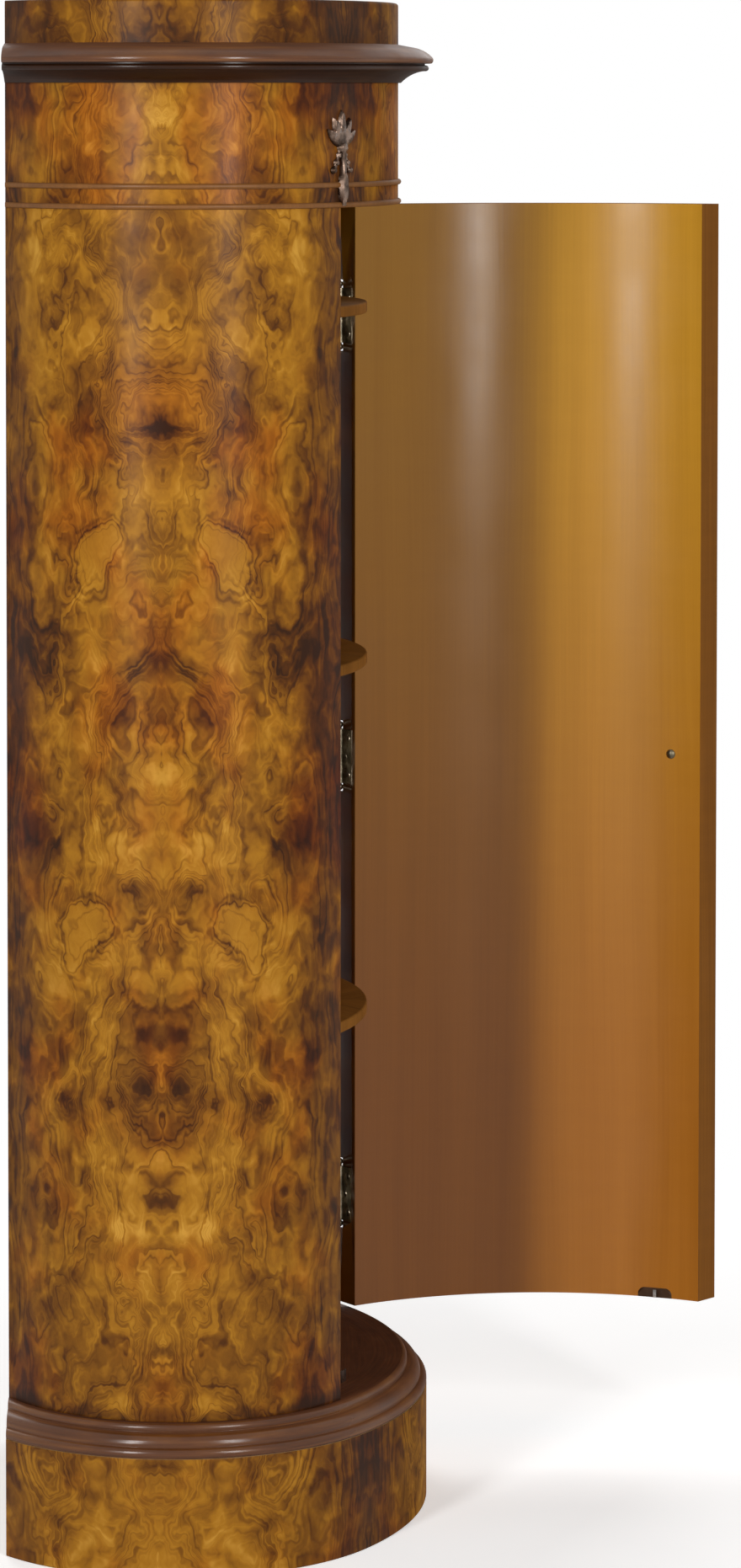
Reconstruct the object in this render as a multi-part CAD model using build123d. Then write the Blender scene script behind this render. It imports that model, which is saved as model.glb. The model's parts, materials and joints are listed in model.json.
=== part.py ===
from build123d import *
import math
import os

# An oval column cabinet with one curved door, in millimetres.
# The origin is the centre of the oval on the floor, -Y is the front, +Y the flat back and +Z up.
# Every door piece is drawn with the door closed, then swung open about the hinge pins.

# Plan of the column, an oval of four arcs with its back cut flat.
# The front arc is the door, and it turns by the corner angle on each side of the middle.
front_radius = 310.0
side_radius = 158.0
corner_angle = 32.6
back_plane = 139.0
wall_thickness = 25.0

# Heights of the stages, from the floor up
skirt_height = 96.0
plinth_moulding_height = 24.0
case_height = 976.0
frieze_height = 101.0
cornice_height = 32.0
block_rise = 34.5

# Plinth
overhang = 24.8
skirt_thickness = 24.0
ledge = 4.0
back_rail_thickness = 20.0
cross_rail_thickness = 20.0
block_depth = 22.0
block_width = 34.0
block_height = 40.0
block_angles = (-58, -28, 28, 58)
base_screw_angles = (-112, -78, 78, 112)

# Case boards
back_panel_thickness = 12.0
back_panel_lip = 8.0
ceiling_thickness = 16.0
stile_width = 14.0
cornice_overhang = 29.5
block_top_round = 2.5

# Shelves and their pins
shelf_thickness = 9.5
lowest_shelf_share = 0.28
shelf_share = 0.275
shelf_count = 3
shelf_side_gap = 1.0
shelf_front_gap = 2.0
shelf_front_round = 1.5
shelf_pin_radius = 2.5
shelf_pin_seat = 8.0
shelf_pin_reach = 9.0
shelf_pin_angle = 31.6

# Frieze trim
bead_height = 4.4
bead_projection = 2.6
band_height = 11.8

# Door opening and door
door_thickness = 23.0
door_head_gap = 4.2
door_foot_gap = 4.0
door_hinge_gap = 0.8
door_lock_gap = 1.6
free_edge_bevel = 12.0
lipping = 5.0
rest_opening = 92.4

# Butt hinges
hinge_end_distance = 97.0
hinge_height = 48.0
leaf_depth = 17.0
leaf_thickness = 1.8
leaf_gap = 0.2
pin_outset = 0.0
knuckle_radius = 4.0
knuckle_gap = 0.15
knuckle_clearance = 0.4
pin_radius = 2.0
pin_clearance = 0.05
pin_tip_radius = 3.2
pin_tip_gap = 0.3
hinge_screw_pitch = 16.0
hinge_screw_stagger = 2.4

# Screws, each with a countersunk head
screw_head_radius = 3.1
screw_head_depth = 1.5
screw_shank_radius = 1.5
screw_length = 11.0
screw_slot_width = 0.8
screw_slot_depth = 0.6
panel_screw_inset = 5.5
panel_screw_bite = 6.0
panel_screw_rows = 5

# Dowels between the side walls and the frieze
dowel_radius = 4.0
dowel_half_length = 14.0
dowel_angles = (-104, -70, 70, 104)

# Knob
knob_edge_distance = 37.0
knob_radius = 11.0
knob_reach = 23.0
knob_neck_radius = 4.5
rose_radius = 9.0
rose_thickness = 2.0
knob_screw_radius = 2.2
knob_screw_clearance = 0.1
knob_screw_bite = 10.0
knob_screw_head_radius = 4.2
knob_screw_head_height = 2.0
knob_screw_seat_gap = 0.05

# Catch at the foot of the door and its strike plate
catch_edge_distance = 51.0
catch_width = 31.0
catch_height = 8.5
catch_depth = 11.0
catch_corner = 6.0
catch_proud = 0.5
tongue_width = 3.0
tongue_proud = 0.6
strike_width = 20.0
strike_thickness = 1.4
strike_foot = 15.0
strike_gap = 0.8

# Cast mounts on the frieze
mount_height = 78.0
mount_drop = 1.5
mount_leaf_length = 31.0
mount_leaf_width = 9.0
mount_thickness = 6.0
mount_leaf_taper = 24.0
mount_leaf_angles = (-52, -27, 0, 27, 52)
mount_bead_radius = 2.9
mount_pin_radius = 0.9
mount_pin_length = 9.0

# Sizes worked out from the ones above
far = 3000.0
arc_centre_x = (front_radius - side_radius) * math.sin(math.radians(corner_angle))
arc_centre_y = (front_radius - side_radius) * math.cos(math.radians(corner_angle))
back_half_width = arc_centre_x + math.sqrt(side_radius**2 - back_plane**2)
back_panel_half_width = back_half_width - back_panel_lip
floor_level = skirt_height + plinth_moulding_height
case_top = floor_level + case_height
frieze_top = case_top + frieze_height
cornice_top = frieze_top + cornice_height
top_level = cornice_top + block_rise
panel_face = back_plane - back_panel_thickness
door_foot = floor_level + door_foot_gap
door_head = case_top - door_head_gap
door_inner_radius = front_radius - door_thickness
opening_angle = corner_angle
hinge_mid_angle = opening_angle - math.degrees(door_hinge_gap / 2 / front_radius)
band_bottom = case_top + bead_height
band_top = band_bottom + band_height
hinge_levels = (
    door_foot + hinge_end_distance,
    (door_foot + door_head) / 2,
    door_head - hinge_end_distance,
)
inner_height = frieze_top - floor_level
shelf_shares = [lowest_shelf_share + shelf_share * number for number in range(shelf_count)]
shelf_tops = [floor_level + share * inner_height for share in shelf_shares]


def arc_point(radius, angle):
    """A point in plan on the front arc's centre, at an angle from the front, positive to the right."""
    turn = math.radians(angle)
    return radius * math.sin(turn), arc_centre_y - radius * math.cos(turn)


def degrees_along(distance, radius):
    """The angle that a length along an arc turns through."""
    return math.degrees(distance / radius)


def right_of(point, angle):
    """Everything on the right of the line through a point in plan that leans by an angle from the front."""
    block = Box(far, far, far, align=(Align.MIN, Align.CENTER, Align.CENTER))
    return Pos(point[0], point[1], 0) * Rot(0, 0, angle) * block


def behind(y):
    """Everything behind a plane across the cabinet."""
    return Pos(0, y, 0) * Box(far, far, far, align=(Align.CENTER, Align.MIN, Align.CENTER))


def oval_runs():
    """Centre, radius, first angle and turn of each arc of the oval."""
    turn = 2 * corner_angle
    return (
        (0, arc_centre_y, front_radius, 270 - corner_angle, turn),
        (arc_centre_x, 0, side_radius, corner_angle - 90, 180 - turn),
        (0, -arc_centre_y, front_radius, 90 - corner_angle, turn),
        (-arc_centre_x, 0, side_radius, corner_angle + 90, 180 - turn),
    )


def whole_oval(offset, bottom, top):
    """The oval as a solid, outside or inside the column's face by offset, with a round back."""
    arcs = [CenterArc((x, y), radius + offset, start, turn) for x, y, radius, start, turn in oval_runs()]
    return Pos(0, 0, bottom) * extrude(make_face(arcs), top - bottom)


def oval_board(offset, bottom, top):
    """A board of the column's plan with its flat back."""
    return whole_oval(offset, bottom, top) - behind(back_plane)


def oval_shell(outer, inner, bottom, top):
    """A wall that follows the oval round the front and the sides and is open at the back."""
    return oval_board(outer, bottom, top) - whole_oval(inner, bottom, top)


def oval_moulding(profile):
    """A profile, drawn as offset from the column's face and height, run round the front and the sides."""
    ring = Part()
    for x, y, radius, start, turn in oval_runs():
        section = Plane.XZ * Pos(radius, 0) * profile
        ring += Pos(x, y, 0) * Rot(0, 0, start) * revolve(section, Axis.Z, turn)
    return ring - behind(back_plane)


def screw(length):
    """A countersunk screw that points down, with its slotted head's face at the origin."""
    head = Cone(screw_shank_radius, screw_head_radius, screw_head_depth, align=(Align.CENTER, Align.CENTER, Align.MAX))
    shank = Cylinder(screw_shank_radius, length, align=(Align.CENTER, Align.CENTER, Align.MAX))
    return head + shank


def slotted(body):
    """A screw with its slot cut."""
    slot = Box(far, screw_slot_width, screw_slot_depth, align=(Align.CENTER, Align.CENTER, Align.MAX))
    return body - slot


# Plinth


def plinth_skirt():
    return oval_shell(overhang, overhang - skirt_thickness, 0, skirt_height)


def skirt_inside():
    return whole_oval(overhang - skirt_thickness, 0, skirt_height)


def plinth_back_rail():
    inside = skirt_inside() - behind(back_plane)
    return inside & behind(back_plane - back_rail_thickness)


def plinth_cross_rail():
    rail = Pos(0, 0, skirt_height / 2) * Box(cross_rail_thickness, far, skirt_height)
    return (skirt_inside() & rail) - behind(back_plane - back_rail_thickness)


def plinth_blocks():
    """Glue blocks shaped to the inside of the skirt, under the base board."""
    inner = overhang - skirt_thickness
    bottom = skirt_height - block_height
    ring = whole_oval(inner, bottom, skirt_height) - whole_oval(inner - block_depth, bottom, skirt_height)
    blocks = []
    for angle in block_angles:
        strip = Pos(0, -far / 2, 0) * Box(block_width, far, far)
        blocks.append(ring & (Rot(0, 0, angle) * strip))
    return blocks


def base_board():
    board = oval_board(ledge, skirt_height, floor_level)
    for hole in base_screw_tools():
        board -= hole
    return board - strike_screw_tool()


def plinth_moulding():
    """Three rounded steps between the ledge and the skirt, with a quirk over the skirt."""
    width = overhang - ledge

    def at(out, up):
        return ledge + width * out, skirt_height + plinth_moulding_height * up

    def round_step(start, end):
        corner = (end[0], start[1])
        middle_x = start[0] + (corner[0] - start[0]) * math.sin(math.pi / 4)
        middle_y = end[1] + (start[1] - end[1]) * math.sin(math.pi / 4)
        return ThreePointArc(start, (middle_x, middle_y), end)

    first = (at(0.03, 1.0), at(0.20, 0.82))
    second = (at(0.27, 0.74), at(0.74, 0.40))
    third = (at(0.80, 0.33), at(1.0, 0.12))
    edges = [
        Polyline(at(0, 0), at(0, 1.0), first[0]),
        round_step(*first),
        Polyline(first[1], at(0.20, 0.74), second[0]),
        round_step(*second),
        Polyline(second[1], at(0.74, 0.33), third[0]),
        round_step(*third),
        Polyline(third[1], at(1.0, 0.06), at(0.95, 0.06), at(0.95, 0), at(0, 0)),
    ]
    return oval_moulding(make_face(edges))


def wall_middle(angle):
    """A point in plan in the middle of the wall's thickness, seen from the centre at an angle from the front."""
    line = Rot(0, 0, angle) * Line((0, 0), (0, -far))
    arcs = [
        CenterArc((x, y), radius - wall_thickness / 2, start, turn) for x, y, radius, start, turn in oval_runs()
    ]
    for arc in arcs:
        crossing = arc.intersect(line)
        if crossing:
            point = crossing[0] if isinstance(crossing, (list, ShapeList)) else crossing
            return point.center().X, point.center().Y
    raise ValueError("no wall at this angle")


def base_screw_tools():
    """Screws from under the base board up into the side walls."""
    tools = []
    for angle in base_screw_angles:
        x, y = wall_middle(angle)
        tools.append(Pos(x, y, skirt_height) * Rot(180, 0, 0) * screw(base_screw_length()))
    return tools


def base_screw_length():
    return plinth_moulding_height + screw_length


def base_screws():
    screws = []
    for angle in base_screw_angles:
        x, y = wall_middle(angle)
        screws.append(Pos(x, y, skirt_height) * Rot(180, 0, 0) * slotted(screw(base_screw_length())))
    return screws


# Case


def back_panel_blank():
    box = Box(
        2 * back_panel_half_width,
        back_panel_thickness,
        frieze_top - floor_level,
        align=(Align.CENTER, Align.MIN, Align.MIN),
    )
    return Pos(0, panel_face, floor_level) * box


def panel_screw_places():
    """Where the back panel's screws go, in both rebates of the walls."""
    low = floor_level + panel_screw_inset * 3
    high = case_top - panel_screw_inset * 3
    step = (high - low) / (panel_screw_rows - 1)
    across = back_panel_half_width - panel_screw_inset
    levels = [low + step * number for number in range(panel_screw_rows)]
    return [(side * across, level) for side in (-1, 1) for level in levels]


def panel_screw_tools():
    turned = Rot(90, 0, 0) * Rot(180, 0, 0)
    length = back_panel_thickness + panel_screw_bite
    return [Pos(x, back_plane, z) * turned * screw(length) for x, z in panel_screw_places()]


def back_panel_screws():
    turned = Rot(90, 0, 0) * Rot(180, 0, 0)
    length = back_panel_thickness + panel_screw_bite
    return [Pos(x, back_plane, z) * turned * slotted(screw(length)) for x, z in panel_screw_places()]


def back_panel():
    panel = back_panel_blank()
    for tool in panel_screw_tools():
        panel -= tool
    return panel


def lock_corner(gap):
    """The corner of the opening at its lock side, moved to the right by a gap."""
    x, y = arc_point(front_radius, -opening_angle)
    lean = math.radians(opening_angle + free_edge_bevel)
    return x + gap * math.cos(lean), y - gap * math.sin(lean)


def hinge_corner(gap):
    """The hinge line's crossing with the column's face, moved along the face to the right by a gap."""
    x, y = arc_point(front_radius, hinge_mid_angle)
    lean = math.radians(hinge_mid_angle)
    return x + gap * math.cos(lean), y + gap * math.sin(lean)


def lock_side(gap):
    """Everything on the right of the bevelled line at the lock side of the opening."""
    return right_of(lock_corner(gap), -(opening_angle + free_edge_bevel))


def hinge_side(gap):
    """Everything on the right of the line at the hinge side of the opening."""
    return right_of(hinge_corner(gap), hinge_mid_angle)


def wall_shell():
    shell = oval_shell(0, -wall_thickness, floor_level, case_top) - back_panel_blank()
    for tool in base_screw_tools() + dowel_tools() + panel_screw_tools() + shelf_pin_tools():
        shell -= tool
    return shell


def side_wall_right(shell):
    return shell & hinge_side(door_hinge_gap / 2 + stile_width)


def side_wall_left(shell):
    return shell - lock_side(-stile_width)


def hinge_stile(shell):
    stile = (shell & hinge_side(door_hinge_gap / 2)) - hinge_side(door_hinge_gap / 2 + stile_width)
    for tool in hinge_recess_tools() + hinge_screw_tools(1):
        stile -= tool
    return stile


def lock_stile(shell):
    return (shell & lock_side(-stile_width)) - lock_side(0)


def frieze():
    ring = oval_shell(0, -wall_thickness, case_top, frieze_top) - back_panel_blank()
    for tool in dowel_tools() + mount_pin_tools():
        ring -= tool
    return ring


def bead(bottom):
    """A half-round strip round the frieze."""
    top = bottom + bead_height
    middle = (bottom + top) / 2
    root = bead_projection - bead_height / 2
    edges = [
        Line((0, bottom), (root, bottom)),
        ThreePointArc((root, bottom), (bead_projection, middle), (root, top)),
        Polyline((root, top), (0, top), (0, bottom)),
    ]
    return oval_moulding(make_face(edges))


def lower_bead():
    return bead(case_top)


def upper_bead():
    return bead(band_top)


def dowel_tools():
    pegs = []
    for angle in dowel_angles:
        x, y = wall_middle(angle)
        pegs.append(Pos(x, y, case_top) * Cylinder(dowel_radius, 2 * dowel_half_length))
    return pegs


def ceiling_board():
    return oval_board(0, frieze_top, frieze_top + ceiling_thickness)


def block_top():
    """The block that stands on the ceiling board, with its top edge eased."""
    block = oval_board(0, frieze_top + ceiling_thickness, top_level)
    rim = block.faces().sort_by(Axis.Z)[-1].edges().filter_by(GeomType.CIRCLE)
    return fillet(rim, block_top_round)


def cornice():
    """A thumb moulding over a bead and a cavetto."""

    def at(out, up):
        return cornice_overhang * out, frieze_top + cornice_height * up

    edges = [
        Polyline(at(0, 1.0), at(0, 0), at(0.08, 0)),
        ThreePointArc(at(0.08, 0), at(0.36, 0.20), at(0.74, 0.31)),
        Line(at(0.74, 0.31), at(0.80, 0.31)),
        ThreePointArc(at(0.80, 0.31), at(0.87, 0.385), at(0.80, 0.46)),
        Polyline(at(0.80, 0.46), at(0.76, 0.46), at(0.76, 0.51), at(0.95, 0.51)),
        ThreePointArc(at(0.95, 0.51), at(1.0, 0.59), at(0.97, 0.67)),
        ThreePointArc(at(0.97, 0.67), at(0.76, 0.82), at(0.40, 0.93)),
        Line(at(0.40, 0.93), at(0, 1.0)),
    ]
    return oval_moulding(make_face(edges))


# Shelves


def shelf(top):
    """A board that follows the walls, with a bowed front behind the door."""
    bottom = top - shelf_thickness
    board = whole_oval(-wall_thickness - shelf_side_gap, bottom, top) - behind(panel_face - shelf_side_gap)
    front = Pos(0, arc_centre_y, (bottom + top) / 2) * Cylinder(door_inner_radius - shelf_front_gap, shelf_thickness)
    board = board & front
    nose = board.edges().filter_by(GeomType.CIRCLE).sort_by(Axis.Y)[:2]
    return fillet(nose, shelf_front_round)


def shelf_pin_places():
    """Where a pin leaves the wall on each side, towards the front and the back, under each shelf."""
    turn = math.radians(shelf_pin_angle)
    wall = arc_centre_x + (side_radius - wall_thickness) * math.cos(turn)
    spread = (side_radius - wall_thickness) * math.sin(turn)
    return [
        (side * wall, y, top - shelf_thickness - shelf_pin_radius)
        for top in shelf_tops
        for side in (-1, 1)
        for y in (-spread, spread)
    ]


def shelf_pin_tools():
    pins = []
    for x, y, z in shelf_pin_places():
        side = math.copysign(1, x)
        middle = x + side * (shelf_pin_seat - shelf_pin_reach) / 2
        length = shelf_pin_seat + shelf_pin_reach
        pins.append(Pos(middle, y, z) * Rot(0, 90, 0) * Cylinder(shelf_pin_radius, length))
    return pins


# Hinges


def hinge_frame(level):
    """The closed hinge's own axes: X along the face to the right, Y inwards, Z up, centred on its pin."""
    x, y = arc_point(front_radius + pin_outset, hinge_mid_angle)
    return Pos(x, y, level) * Rot(0, 0, hinge_mid_angle)


def leaf_plate(side):
    """One leaf's plate, let into the edge on its side of the gap: -1 is the door, +1 the case."""
    depth = leaf_depth + pin_outset
    plate = Box(leaf_thickness, depth, hinge_height, align=(Align.MIN, Align.MIN, Align.CENTER))
    plate = Pos(leaf_gap / 2, 0, 0) * plate
    return mirror(plate, Plane.YZ) if side < 0 else plate


def knuckle_bands(side):
    """Middle height and length of the knuckles on one leaf: the door has the middle one."""
    third = hinge_height / 3
    length = third - knuckle_gap
    return [(0, length)] if side < 0 else [(-third, length), (third, length)]


def hinge_leaf(side):
    """A leaf with its knuckles bored for the pin, cut clear of the other leaf's knuckles."""
    leaf = leaf_plate(side)
    for level, length in knuckle_bands(-side):
        clear = Cylinder(knuckle_radius + knuckle_clearance / 2, length + 2 * knuckle_gap)
        leaf -= Pos(0, 0, level) * clear
    for level, length in knuckle_bands(side):
        leaf += Pos(0, 0, level) * Cylinder(knuckle_radius, length)
    leaf -= Cylinder(pin_radius + pin_clearance, far)
    for tool in leaf_screws(side):
        leaf -= tool
    return leaf


def leaf_screw_places():
    """Depth and height of the screws in a leaf, staggered."""
    middle = pin_outset + leaf_depth * 0.58
    return [(middle + hinge_screw_stagger * way, way_up * hinge_screw_pitch) for way, way_up in ((1, 1), (-1, 0), (1, -1))]


def leaf_screws(side, finish=None):
    """Screws through one leaf into its edge, in the hinge's own axes."""
    screws = []
    for depth, height in leaf_screw_places():
        body = screw(screw_length)
        if finish:
            body = finish(body)
        screws.append(Pos(side * leaf_gap / 2, depth, height) * Rot(0, -side * 90, 0) * body)
    return screws


def hinge_pin():
    """A pin with a ball at each end."""
    length = hinge_height + 2 * pin_tip_gap
    pin = Cylinder(pin_radius, length + pin_tip_radius)
    for side in (-1, 1):
        pin += Pos(0, 0, side * (length / 2 + pin_tip_radius)) * Sphere(pin_tip_radius)
    return pin


def hinge_recess_tools():
    """What is cut from both edges for each hinge: the seats of the leaves and the room for the knuckles."""
    tools = []
    room = hinge_height + 2 * (pin_tip_gap + 2 * pin_tip_radius + knuckle_clearance)
    for level in hinge_levels:
        frame = hinge_frame(level)
        for side in (-1, 1):
            tools.append(frame * leaf_plate(side))
        tools.append(frame * Cylinder(knuckle_radius + knuckle_clearance, room))
    return tools


def hinge_screw_tools(side):
    return [hinge_frame(level) * tool for level in hinge_levels for tool in leaf_screws(side)]


# Door


def door_blank(bottom, top):
    """The door as one closed piece, a sector of the front arc with its edges cut to the opening."""
    ring = Cylinder(front_radius, top - bottom) - Cylinder(door_inner_radius, top - bottom)
    ring = Pos(0, arc_centre_y, (bottom + top) / 2) * ring
    return (ring & lock_side(door_lock_gap)) - hinge_side(-door_hinge_gap / 2)


def knob_frame():
    """Axes of the knob: Z points out of the door's face, at the middle of its height."""
    angle = -opening_angle + degrees_along(knob_edge_distance, front_radius)
    x, y = arc_point(front_radius, angle)
    return Pos(x, y, (door_foot + door_head) / 2) * Rot(0, 0, angle) * Rot(90, 0, 0)


def knob():
    """A turned knob on a thin rose."""
    neck = rose_thickness + knob_reach * 0.28
    brow = knob_reach - knob_radius
    slope = math.sqrt(0.5)
    edges = [
        Polyline((0, 0), (rose_radius, 0), (rose_radius, rose_thickness * 0.5)),
        ThreePointArc(
            (rose_radius, rose_thickness * 0.5),
            (rose_radius * 0.85, rose_thickness * 0.95),
            (knob_neck_radius * 1.15, rose_thickness * 1.4),
        ),
        ThreePointArc(
            (knob_neck_radius * 1.15, rose_thickness * 1.4),
            (knob_neck_radius, neck * 0.8),
            (knob_neck_radius * 1.2, neck),
        ),
        ThreePointArc(
            (knob_neck_radius * 1.2, neck),
            (knob_radius * 0.86, neck + (brow - neck) * 0.3),
            (knob_radius, brow),
        ),
        ThreePointArc(
            (knob_radius, brow),
            (knob_radius * slope, brow + knob_radius * slope),
            (0, knob_reach),
        ),
        Line((0, knob_reach), (0, 0)),
    ]
    body = revolve(Plane.XZ * make_face(edges), Axis.Z, 360)
    bore = Cylinder(knob_screw_radius, knob_screw_bite, align=(Align.CENTER, Align.CENTER, Align.MIN))
    return knob_frame() * (body - bore)


def knob_screw():
    """A screw from inside the door into the knob, with a domed head."""
    seat = -door_thickness - knob_screw_seat_gap
    length = knob_screw_bite - seat
    shank = Pos(0, 0, knob_screw_bite) * Cylinder(
        knob_screw_radius, length, align=(Align.CENTER, Align.CENTER, Align.MAX)
    )
    crown = (knob_screw_head_radius**2 + knob_screw_head_height**2) / (2 * knob_screw_head_height)
    ball = Pos(0, 0, seat + crown - knob_screw_head_height) * Sphere(crown)
    head = ball - Pos(0, 0, seat) * Box(far, far, far, align=(Align.CENTER, Align.CENTER, Align.MIN))
    return knob_frame() * (shank + head)


def knob_bore():
    bore = Cylinder(knob_screw_radius + knob_screw_clearance, 3 * door_thickness)
    return knob_frame() * bore


def catch_frame():
    """Axes of the catch: X along the door's inner face, Y into the cabinet, Z up from the door's foot."""
    angle = -opening_angle + degrees_along(catch_edge_distance, front_radius)
    x, y = arc_point(door_inner_radius - catch_proud, angle)
    return Pos(x, y, door_foot) * Rot(0, 0, angle)


def catch_blank():
    """The half-round block of the catch, which fills its recess in the door."""
    sketch = RectangleRounded(catch_width, 2 * catch_height, catch_corner)
    body = extrude(Plane.XZ * sketch, catch_depth)
    body = body - Pos(0, 0, -far / 2) * Box(far, far, far)
    return body


def tongue_blank():
    body = Box(
        tongue_width,
        catch_depth * 0.8 + tongue_proud,
        catch_height * 0.8,
        align=(Align.CENTER, Align.MAX, Align.MIN),
    )
    return Pos(0, tongue_proud, 0) * body


def catch_housing():
    return catch_frame() * (catch_blank() - tongue_blank())


def catch_tongue():
    return catch_frame() * tongue_blank()


def strike_plate():
    """An angle plate on the floor of the cabinet, just behind the tongue of the closed catch."""
    near = tongue_proud + strike_gap
    upright = Pos(0, near, -door_foot_gap) * Box(
        strike_width, strike_thickness, door_foot_gap + catch_height * 0.7, align=(Align.CENTER, Align.MIN, Align.MIN)
    )
    foot = Pos(0, near, -door_foot_gap) * Box(
        strike_width, strike_foot, strike_thickness, align=(Align.CENTER, Align.MIN, Align.MIN)
    )
    return catch_frame() * (upright + foot) - strike_screw_tool()


def strike_screw_place():
    near = tongue_proud + strike_gap + strike_foot * 0.58
    return catch_frame() * Pos(0, near, strike_thickness - door_foot_gap)


def strike_screw_tool():
    return strike_screw_place() * screw(screw_length)


def strike_screw():
    return strike_screw_place() * slotted(screw(screw_length))


def door_body():
    body = door_blank(door_foot, door_head) - knob_bore() - catch_frame() * catch_blank()
    for tool in hinge_recess_tools() + hinge_screw_tools(-1):
        body -= tool
    return body


# Cast mounts


def mount_frame(side):
    """Axes of a mount: X across it, Y up from its foot and Z out of the frieze."""
    x, y = arc_point(front_radius, side * opening_angle)
    return Pos(x, y, case_top + mount_drop) * Rot(0, 0, side * opening_angle) * Rot(90, 0, 0)


def leaf_outline(length, width):
    """A pointed leaf that grows from the origin along Y."""
    middle = length * 0.45
    return make_face(
        [
            ThreePointArc((0, 0), (width / 2, middle), (0, length)),
            ThreePointArc((0, length), (-width / 2, middle), (0, 0)),
        ]
    )


def raised(outline, thickness):
    """A relief piece that narrows towards its crest, with a root that reaches into the frieze."""
    root = extrude(outline, -bead_projection)
    return root + extrude(outline, thickness, taper=mount_leaf_taper)


def cast_mount(side):
    """A fan of leaves over two diverging strings of beads and a pendant husk."""
    heart = mount_height - mount_leaf_length
    crest = bead_projection + mount_thickness / 2
    body = Part()
    for angle in mount_leaf_angles:
        length = mount_leaf_length * (1 - 0.25 * abs(angle) / 60)
        leaf = raised(leaf_outline(length, mount_leaf_width), mount_thickness * 0.55)
        body += Pos(0, heart, 0) * Rot(0, 0, angle) * leaf
    body += Pos(0, heart, 0) * raised(Circle(mount_leaf_width * 0.62), mount_thickness * 0.8)
    stem_width = mount_leaf_width * 0.42
    stem = Pos(0, heart / 2, 0) * Box(stem_width, heart, 2 * crest - mount_thickness * 0.4)
    body += stem
    for number in range(1, 4):
        drop = heart - number * mount_bead_radius * 2.1
        for way in (-1, 1):
            out = way * number * mount_bead_radius * 1.35
            link = Pos(out * 0.78, drop + mount_bead_radius, 0) * Rot(0, 0, way * 33)
            body += link * Box(mount_bead_radius, mount_bead_radius * 3.2, mount_thickness * 0.5)
            body += Pos(out, drop, 0) * raised(Circle(mount_bead_radius), mount_thickness * 0.5)
    husk = Pos(0, heart * 0.62, 0) * Rot(0, 0, 180) * leaf_outline(heart * 0.62, mount_leaf_width)
    body += extrude(husk, crest, taper=mount_leaf_taper / 2)
    placed = mount_frame(side) * body
    for pin in mount_pin_tools():
        placed -= pin
    return placed - whole_oval(0, case_top - far / 4, frieze_top) - lower_bead() - upper_bead()


def mount_pin_tools():
    """Two pins through each mount into the frieze."""
    pins = []
    heart = mount_height - mount_leaf_length
    for side in (-1, 1):
        for height in (heart, heart + mount_leaf_length * 0.5):
            top = mount_thickness * 0.5
            pin = Pos(0, height, top) * Cylinder(
                mount_pin_radius, mount_pin_length, align=(Align.CENTER, Align.CENTER, Align.MAX)
            )
            pins.append(mount_frame(side) * pin)
    return pins


def write(name, shape):
    """Writes one node; a list becomes a group of separate solids."""
    if isinstance(shape, list):
        shape = Compound(children=[solid for piece in shape for solid in piece.solids()])
    shape.label = name
    export_step(shape, f"parts/{name}.step")


def main():
    os.makedirs("parts", exist_ok=True)
    shell = wall_shell()
    pin_x, pin_y = arc_point(front_radius + pin_outset, hinge_mid_angle)
    swing = Pos(pin_x, pin_y, 0) * Rot(0, 0, rest_opening) * Pos(-pin_x, -pin_y, 0)
    door = door_body()
    free_cut = lock_side(door_lock_gap + lipping)
    hinge_cut = hinge_side(-door_hinge_gap / 2 - lipping)

    write("plinth_skirt", plinth_skirt())
    write("plinth_back_rail", plinth_back_rail())
    write("plinth_cross_rail", plinth_cross_rail())
    write("plinth_blocks", plinth_blocks())
    write("plinth_moulding", plinth_moulding())
    write("base_board", base_board())
    write("base_screws", base_screws())
    write("side_wall_left", side_wall_left(shell))
    write("side_wall_right", side_wall_right(shell))
    write("lock_stile", lock_stile(shell))
    write("hinge_stile", hinge_stile(shell))
    write("back_panel", back_panel())
    write("back_panel_screws", back_panel_screws())
    write("frieze_dowels", dowel_tools())
    write("frieze", frieze())
    write("lower_bead", lower_bead())
    write("upper_bead", upper_bead())
    write("ceiling_board", ceiling_board())
    write("cornice", cornice())
    write("block_top", block_top())
    write("mount_left", cast_mount(-1))
    write("mount_right", cast_mount(1))
    write("mount_pins", mount_pin_tools())
    for name, top in zip(("shelf_bottom", "shelf_middle", "shelf_top"), shelf_tops):
        write(name, shelf(top))
    write("shelf_pins", shelf_pin_tools())

    for name, level in zip(("hinge_bottom", "hinge_middle", "hinge_top"), hinge_levels):
        frame = hinge_frame(level)
        write(f"{name}_case_leaf", frame * hinge_leaf(1))
        write(f"{name}_door_leaf", swing * frame * hinge_leaf(-1))
        write(f"{name}_pin", frame * hinge_pin())
    case_screws = [hinge_frame(level) * part for level in hinge_levels for part in leaf_screws(1, slotted)]
    door_screws = [swing * hinge_frame(level) * part for level in hinge_levels for part in leaf_screws(-1, slotted)]
    write("hinge_screws_case", case_screws)
    write("hinge_screws_door", door_screws)

    write("door_panel", swing * ((door & free_cut) - hinge_cut))
    write("door_free_lipping", swing * (door - free_cut))
    write("door_hinge_lipping", swing * (door & hinge_cut))
    write("door_knob", swing * knob())
    write("knob_screw", swing * knob_screw())
    write("catch_housing", swing * catch_housing())
    write("catch_tongue", swing * catch_tongue())
    write("strike_plate", strike_plate())
    write("strike_screw", strike_screw())
    print("hinge axis", round(pin_x, 4), round(pin_y, 4))


main()
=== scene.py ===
import json
import math

import bmesh
import bpy
import numpy as np
from mathutils import Matrix, Vector

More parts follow.
